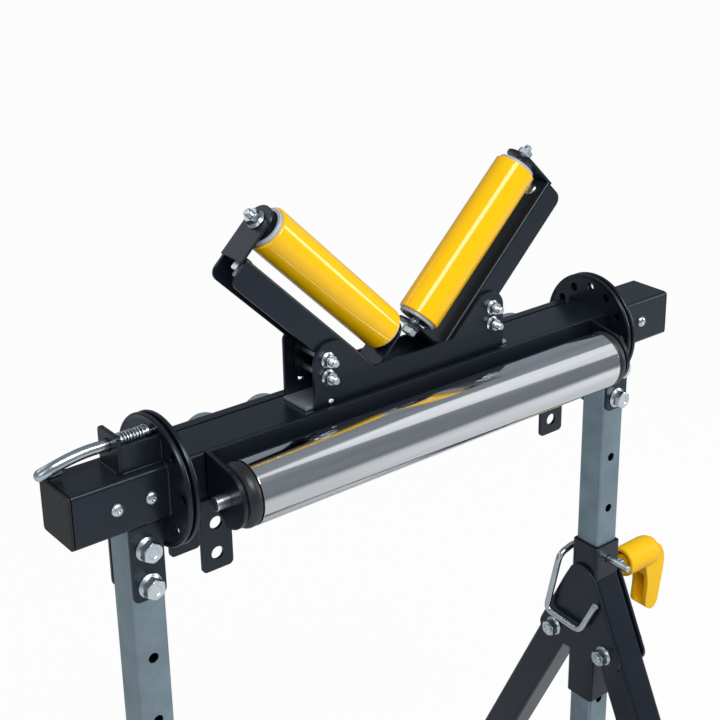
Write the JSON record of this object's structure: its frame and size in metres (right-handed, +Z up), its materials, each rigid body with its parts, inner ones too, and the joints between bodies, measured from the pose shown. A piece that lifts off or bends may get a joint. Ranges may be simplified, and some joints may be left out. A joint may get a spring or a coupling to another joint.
{
  "type": "adjustable trestle",
  "caption": "Folding height-adjustable work stand with a turning beam that offers a V of two rollers, a long roller, a row of balls or timber brackets.",
  "frame": {"origin": "on the floor, under the middle of the beam", "axes": "+X along the beam to the right, +Y to the back (the ball side at rest), +Z up"},
  "size_m": [0.6218, 0.504, 0.8897],
  "materials": {
    "black_coat": "glossy black powder coat",
    "zinc_plate": "bright zinc plate",
    "chrome": "polished",
    "yellow_sleeve": "glossy yellow",
    "orange_plastic": "satin orange-yellow",
    "black_rubber": "matt black",
    "black_plastic": "satin black"
  },
  "bodies": {
    "stand": {"sleeve_left": "black_coat", "sleeve_right": "black_coat", "pivot_bolt_front_left": "zinc_plate", "pivot_bolt_front_right": "zinc_plate", "pivot_bolt_back_left": "zinc_plate", "pivot_bolt_back_right": "zinc_plate"},
    "front_legs": {"leg_frame_front": "black_coat", "foot_front_left": "black_rubber", "foot_front_right": "black_rubber"},
    "back_legs": {"leg_frame_back": "black_coat", "foot_back_left": "black_rubber", "foot_back_right": "black_rubber"},
    "clamp_left": {"clamp_lever_left": "orange_plastic"},
    "clamp_right": {"clamp_lever_right": "orange_plastic"},
    "lock_left": {"lock_pin_left": "zinc_plate"},
    "lock_right": {"lock_pin_right": "zinc_plate"},
    "mast": {"stub_left": "black_coat", "stub_right": "black_coat", "post_left": "zinc_plate", "post_right": "zinc_plate", "end_cap_left": "black_plastic", "end_cap_right": "black_plastic", "saddle_bolt_upper_left": "zinc_plate", "saddle_bolt_upper_right": "zinc_plate", "saddle_bolt_lower_left": "zinc_plate", "saddle_bolt_lower_right": "zinc_plate"},
    "index": {"index_pin": "zinc_plate", "index_spring": "zinc_plate"},
    "beam": {"beam": "black_coat", "roller_cradle": "black_coat", "roller_axle": "zinc_plate", "timber_bracket_left": "black_coat", "timber_bracket_right": "black_coat", "ball_rail": "black_coat", "v_base": "zinc_plate", "yoke_plate_front": "black_coat", "yoke_plate_back": "black_coat", "v_arm_left": "black_coat", "v_arm_right": "black_coat", "v_tab_left": "black_coat", "v_tab_right": "black_coat", "v_axle_left": "zinc_plate", "v_axle_right": "zinc_plate", "yoke_bolt_upper_left": "zinc_plate", "yoke_bolt_upper_right": "zinc_plate", "yoke_bolt_lower_left": "zinc_plate", "yoke_bolt_lower_right": "zinc_plate"},
    "long_roller": {"long_roller": "chrome", "long_roller_cap_left": "black_rubber", "long_roller_cap_right": "black_rubber"},
    "v_roller_left": {"v_roller_left": "yellow_sleeve"},
    "v_roller_right": {"v_roller_right": "yellow_sleeve"},
    "ball_1": {"ball_1": "chrome"},
    "ball_2": {"ball_2": "chrome"},
    "ball_3": {"ball_3": "chrome"},
    "ball_4": {"ball_4": "chrome"},
    "ball_5": {"ball_5": "chrome"},
    "ball_6": {"ball_6": "chrome"},
    "ball_7": {"ball_7": "chrome"}
  },
  "joints": [
    {"name": "height_slide", "type": "slide", "parent": "stand", "child": "mast", "axis": [0, 0, 1], "range_m": [-0.1, 0.2]},
    {"name": "front_leg_fold", "type": "hinge", "parent": "stand", "child": "front_legs", "pos_m": [0, -0.031, 0.412], "axis": [1, 0, 0], "range_deg": [0, 26]},
    {"name": "back_leg_fold", "type": "hinge", "parent": "stand", "child": "back_legs", "pos_m": [0, 0.031, 0.412], "axis": [-1, 0, 0], "range_deg": [0, 26]},
    {"name": "beam_turn", "type": "hinge", "parent": "mast", "child": "beam", "pos_m": [0, 0, 0.72], "axis": [1, 0, 0], "continuous": true},
    {"name": "index_pin_pull", "type": "slide", "parent": "mast", "child": "index", "axis": [-1, 0, 0], "range_m": [0, 0.009], "stiffness_N_per_m": 400, "springref_m": -0.01, "deforming": ["index_spring"]},
    {"name": "lock_pin_left_pull", "type": "slide", "parent": "stand", "child": "lock_left", "axis": [0, 1, 0], "range_m": [0, 0.06]},
    {"name": "lock_pin_right_pull", "type": "slide", "parent": "stand", "child": "lock_right", "axis": [0, 1, 0], "range_m": [0, 0.06]},
    {"name": "clamp_left_turn", "type": "hinge", "parent": "stand", "child": "clamp_left", "pos_m": [-0.27, 0, 0.472], "axis": [1, 0, 0], "range_deg": [-180, 180]},
    {"name": "clamp_right_turn", "type": "hinge", "parent": "stand", "child": "clamp_right", "pos_m": [0.27, 0, 0.472], "axis": [1, 0, 0], "range_deg": [-180, 180]},
    {"name": "long_roller_spin", "type": "hinge", "parent": "beam", "child": "long_roller", "pos_m": [0, -0.0455, 0.715], "axis": [1, 0, 0], "continuous": true},
    {"name": "v_roller_left_spin", "type": "hinge", "parent": "beam", "child": "v_roller_left", "pos_m": [-0.06498, 0, 0.82472], "axis": [-0.7071, 0, 0.7071], "continuous": true},
    {"name": "v_roller_right_spin", "type": "hinge", "parent": "beam", "child": "v_roller_right", "pos_m": [0.06498, 0, 0.82472], "axis": [0.7071, 0, 0.7071], "continuous": true},
    {"name": "ball_1_spin", "type": "hinge", "parent": "beam", "child": "ball_1", "pos_m": [-0.147, 0.0405, 0.72], "axis": [1, 0, 0], "continuous": true},
    {"name": "ball_2_spin", "type": "hinge", "parent": "beam", "child": "ball_2", "pos_m": [-0.098, 0.0405, 0.72], "axis": [1, 0, 0], "continuous": true},
    {"name": "ball_3_spin", "type": "hinge", "parent": "beam", "child": "ball_3", "pos_m": [-0.049, 0.0405, 0.72], "axis": [1, 0, 0], "continuous": true},
    {"name": "ball_4_spin", "type": "hinge", "parent": "beam", "child": "ball_4", "pos_m": [0, 0.0405, 0.72], "axis": [1, 0, 0], "continuous": true},
    {"name": "ball_5_spin", "type": "hinge", "parent": "beam", "child": "ball_5", "pos_m": [0.049, 0.0405, 0.72], "axis": [1, 0, 0], "continuous": true},
    {"name": "ball_6_spin", "type": "hinge", "parent": "beam", "child": "ball_6", "pos_m": [0.098, 0.0405, 0.72], "axis": [1, 0, 0], "continuous": true},
    {"name": "ball_7_spin", "type": "hinge", "parent": "beam", "child": "ball_7", "pos_m": [0.147, 0.0405, 0.72], "axis": [1, 0, 0], "continuous": true}
  ]
}
